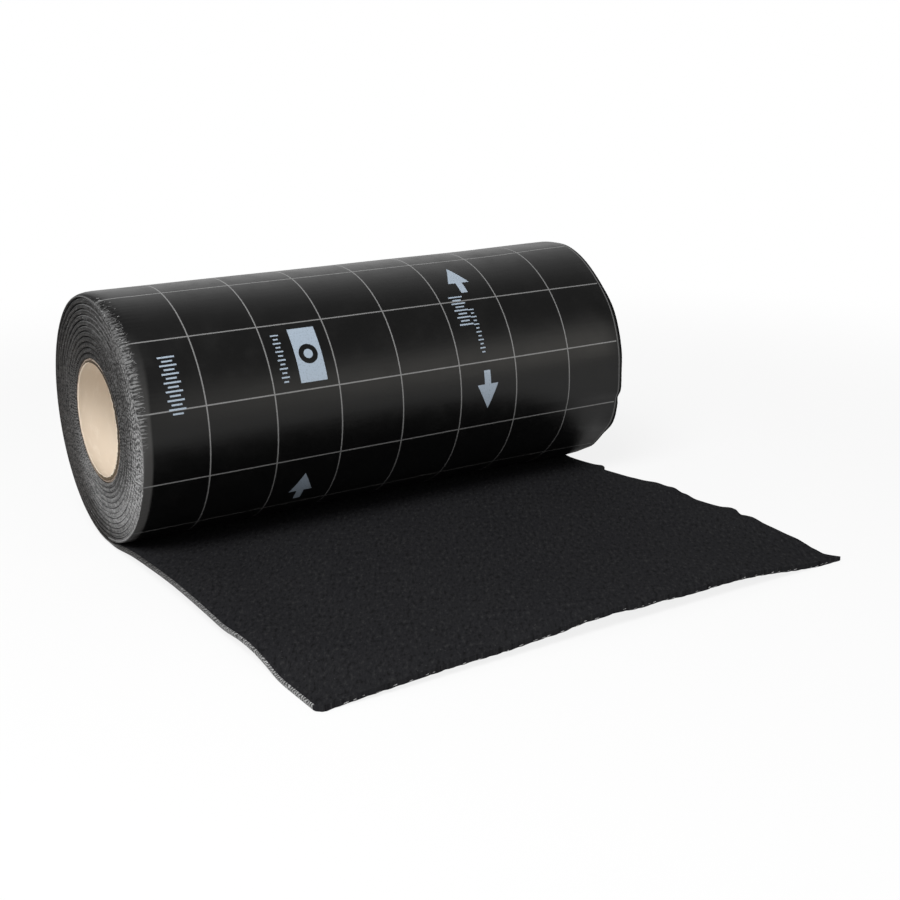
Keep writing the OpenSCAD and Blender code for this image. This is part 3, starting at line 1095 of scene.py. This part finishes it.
def front_strands(rng):
    """Stubs of mesh along the front cut."""
    for across in np.arange(-HALF_W + 8 * MM, HALF_W - 8 * MM, MESH_LONG / 2):
        across += rng.uniform(-0.8, 0.8) * MM
        depth = SHEET_T * rng.uniform(0.06, 0.35)
        sizes = STRAND * [rng.uniform(0.6, 1.6), rng.uniform(0.8, 1.6), 1]
        cut = front_cut(np.array(across), np.array(-TAIL_L))
        point = path_point(np.array([[across]]), np.array([[-TAIL_L + cut]]), np.array([[depth]]))[0, 0]
        if rng.random() < 0.6:
            sizes[2] = min(cut, 0.35 * MM)
            yield strand(point, *np.array([(1, 0, 0.15), (0, -1, 0), (-0.15, 0, 1)]), sizes)


def mesh_ends(material):
    """The cut ends of the aluminium mesh: on both long edges, in the near comb and at the front."""
    rng = np.random.default_rng(41)
    strands = [*edge_strands(rng, -1), *edge_strands(rng, 1), *comb_strands(rng), *front_strands(rng)]
    points = np.array(strands).reshape(-1, 3)
    points[:, 0] = np.clip(points[:, 0], -HALF_W, HALF_W)
    points[:, 1:] = np.maximum(points[:, 1:], [-TAIL_L, 0])
    faces = [[6 * k + i for i in face] for k in range(len(strands)) for face in STRAND_FACES]
    piece = new_object("mesh_ends", points.tolist(), faces, [0] * len(faces), [material])
    piece.data.polygons.foreach_set("use_smooth", np.zeros(len(faces), bool))
    face_outwards(piece)
    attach(piece, "root")


# ======== the core
CORE_SIDES = 180
# The burr the saw left inside the near end, at degrees round from the floor by the back: its height in mm
BURR = [
    (0, 1), (40, 0.5), (70, 0.3), (150, 0.2), (195, 0.5), (225, 1.8), (250, 3.2), (300, 3.2),
    (335, 1.9), (360, 1),
]
BURR_DEPTH, CORE_EASE, PLY_STEP, FRAY = 1.6 * MM, 0.5 * MM, 0.18 * MM, 0.15 * MM


def core_section():
    """The tube's section: place along, share of the wall (below 0 on the burr), 1 on the sawn ends."""
    shares = 0.06 + 0.88 * np.linspace(0, 1, 9)
    steps = PLY_STEP * (np.arange(9) % 2)
    bore = [(x, 0, 0) for x in np.linspace(-CORE_HALF + BURR_DEPTH, CORE_HALF - CORE_EASE, 81)]
    outside = [(x, 1, 0) for x in np.linspace(CORE_HALF - CORE_EASE, -CORE_HALF + CORE_EASE, 9)]
    far = [(CORE_HALF - step, share, 1) for step, share in zip(steps, shares)]
    near = [(-CORE_HALF + step, share, 1) for step, share in zip(steps, shares[::-1])]
    burr = [(-CORE_HALF + x * MM, *rest) for x, *rest in [(0.1, -0.2, 1), (0.25, -0.9, 1), (0.7, -0.8, 0)]]
    return np.array(bore + far + outside + near + burr).T


def core_board(materials):
    """The cardboard tube, as one closed ring section turned round the axis."""
    across, share, sawn = core_section()
    angles = np.arange(CORE_SIDES) * math.tau / CORE_SIDES
    turn, reach = np.meshgrid(angles, across, indexing="ij")
    burr = through(BURR, np.degrees(angles)) * MM * (1 + 0.16 * wander(53, 0.12)(angles))
    radius = BORE_R + (CORE_R - BORE_R) * np.maximum(share, 0) + np.minimum(share, 0) * burr[:, None]
    far_fray, near_fray = (FRAY * np.abs(wander(seed, 0.35)(angles))[:, None] for seed in (51, 52))
    at_end = np.abs(reach) > CORE_HALF - CORE_EASE * 0.9
    reach = reach - at_end * np.sign(reach) * np.where(reach > 0, far_fray, near_fray)
    points = np.stack([reach, radius * np.sin(turn), ROLL_R - radius * np.cos(turn)], -1).reshape(-1, 3)
    rows = np.arange(points.shape[0]).reshape(reach.shape)
    parts = np.tile(sawn * np.roll(sawn, -1), CORE_SIDES)
    fields = {"across": reach.ravel(), "wall": np.broadcast_to(share, reach.shape).ravel()}
    quads = row_quads(rows, np.roll(rows, -1, 0))
    piece = new_object("core_board", points.tolist(), quads, parts, materials, fields)
    face_outwards(piece)
    piece.data.set_sharp_from_angle(angle=math.radians(50))
    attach(piece, "root")
    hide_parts("core_tube")


# ======== stage, light and camera
CAMERA_PLACE = Vector((-0.4966, -0.9272, 0.3346))
CAMERA_AZIMUTH, CAMERA_ELEVATION, CAMERA_ROLL = (math.radians(angle) for angle in (-32.43, 15.97, -1.09))
CAMERA_LENS, CAMERA_SENSOR, CAMERA_END = 55.62, 36, 50
LAMP_PLACE, LAMP_TARGET = Vector((-0.88, -0.72, 1.45)), Vector((0, -0.05, 0.09))
LAMP_SIZE, LAMP_POWER = 0.9, 27
WHITE = (1, 1, 1, 1)


def camera():
    data = bpy.data.cameras.new("camera")
    data.lens = CAMERA_LENS
    data.sensor_width = CAMERA_SENSOR
    data.clip_end = CAMERA_END
    eye = in_scene("camera", data)
    tilt = Matrix.Rotation(math.pi / 2 - CAMERA_ELEVATION, 4, "X")
    turned = Matrix.Rotation(CAMERA_AZIMUTH, 4, "Z") @ tilt @ Matrix.Rotation(CAMERA_ROLL, 4, "Z")
    eye.matrix_world = Matrix.Translation(CAMERA_PLACE) @ turned
    bpy.context.scene.camera = eye


def softbox():
    data = bpy.data.lights.new("key", "AREA")
    data.shape = "SQUARE"
    data.size = LAMP_SIZE
    data.energy = LAMP_POWER
    lamp = in_scene("key", data)
    lamp.location = LAMP_PLACE
    lamp.rotation_euler = (LAMP_TARGET - LAMP_PLACE).to_track_quat("-Z", "Y").to_euler()


FLOOR_HALF, FLOOR_DROP = 30.0, 0.2 * MM
# The floor's gray, and what the sheet mirrors of it
FLOOR_GRAY, FLOOR_MIRRORED = gray(0.86), gray(0.66)
# How much of its white the floor keeps by the roll, and where it goes over into plain white
SHADOW_SHARE, SHADOW_FROM, SHADOW_REACH = 0.84, 0.4, 1.1


def floor():
    """A pale floor, nearly white to the camera, that keeps the roll's shadow."""
    finish = Finish("white_floor", Roughness=0.9, Specular_IOR_Level=0.1)
    rays = [finish.node("ShaderNodeLightPath", output=ray) for ray in ("Is Camera Ray", "Is Glossy Ray")]
    finish.feed(finish.mix(rays[1], FLOOR_GRAY, FLOOR_MIRRORED))
    away = finish.node("ShaderNodeVectorMath", {"operation": "LENGTH"}, {0: finish.place()}, "Value")
    share = SHADOW_SHARE + away.ramp(SHADOW_FROM, SHADOW_REACH) * (1 - SHADOW_SHARE)
    glow = finish.node("ShaderNodeEmission", {}, {"Color": WHITE, "Strength": 1.0})
    body = Value(finish, finish.shader.outputs[0])
    finish.mix_surfaces(rays[0] * share, body, glow, "Material Output")
    corners = [(x * FLOOR_HALF, y * FLOOR_HALF, 0) for x, y in ((-1, -1), (1, -1), (1, 1), (-1, 1))]
    plane = new_object("studio_floor", corners, [(0, 1, 2, 3)], [0], [finish.material])
    plane.location.z = -FLOOR_DROP


ROOM_LIGHT = 0.17
LEFT_WALL, FRONT_WALL, BACK_WALL = 0.92, 1.45, 0.82
FRONT_TINT = (1.0, 0.965, 0.90, 1.0)
# Where the room's front goes over into its back, and where the left wall fades towards its right and its top
BACK_Y, LEFT_X, LEFT_Z = (-0.3, 0.3), (-0.55, -0.1), (0.3, 0.8)
# Where the right wall begins, is full, fades and ends in x, and fades and ends in z: at the front and back
RIGHT_X = [(0.10, 0.02), (0.60, 0.35), (0.70, 0.45), (1.0, 0.92)]
RIGHT_Z = [(0.25, 0.60), (0.55, 0.98)]


def world():
    """A white room to the camera, else dim, with bright walls to the left, front right and back."""
    made = bpy.data.worlds.new("studio")
    bpy.context.scene.world = made
    made.use_nodes = True
    room = Nodes(made.node_tree)
    x, y, z = room.axes(room.node("ShaderNodeTexCoord", output="Generated"), "XYZ")
    back = y.ramp(*BACK_Y).ramp(0, 1)

    def between(front, behind):
        """From one number at the front to another at the back."""
        return back * (behind - front) + front

    begin, full, fade, end = (between(*place) for place in RIGHT_X)
    right = x.ramp(begin, full) * (1 - x.ramp(fade, end)) * (1 - z.ramp(*(between(*top) for top in RIGHT_Z)))
    left = (1 - x.ramp(*LEFT_X)) * (1 - z.ramp(*LEFT_Z))
    wall = between(FRONT_WALL, BACK_WALL)
    strength = left * (LEFT_WALL - ROOM_LIGHT) + right * (wall - ROOM_LIGHT) + ROOM_LIGHT
    color = room.mix(right * (1 - back), WHITE, FRONT_TINT)
    light = room.node("ShaderNodeBackground", {}, {"Color": color, "Strength": strength})
    shown = room.node("ShaderNodeBackground", {}, {"Color": WHITE, "Strength": 1.0})
    seen = room.node("ShaderNodeLightPath", output="Is Camera Ray")
    room.mix_surfaces(seen, light, shown, "World Output")


def build():
    sheet_finishes = [film_finish(), compound_finish(), cut_edge_finish(), smear_finish()]
    outer_sheet(sheet_finishes)
    inner_turns(sheet_finishes)
    mesh_ends(wire_finish())
    core_board([liner_finish(), ply_finish()])
    floor()
    world()
    softbox()
    camera()
    bpy.context.scene.view_settings.view_transform = "Standard"


build()
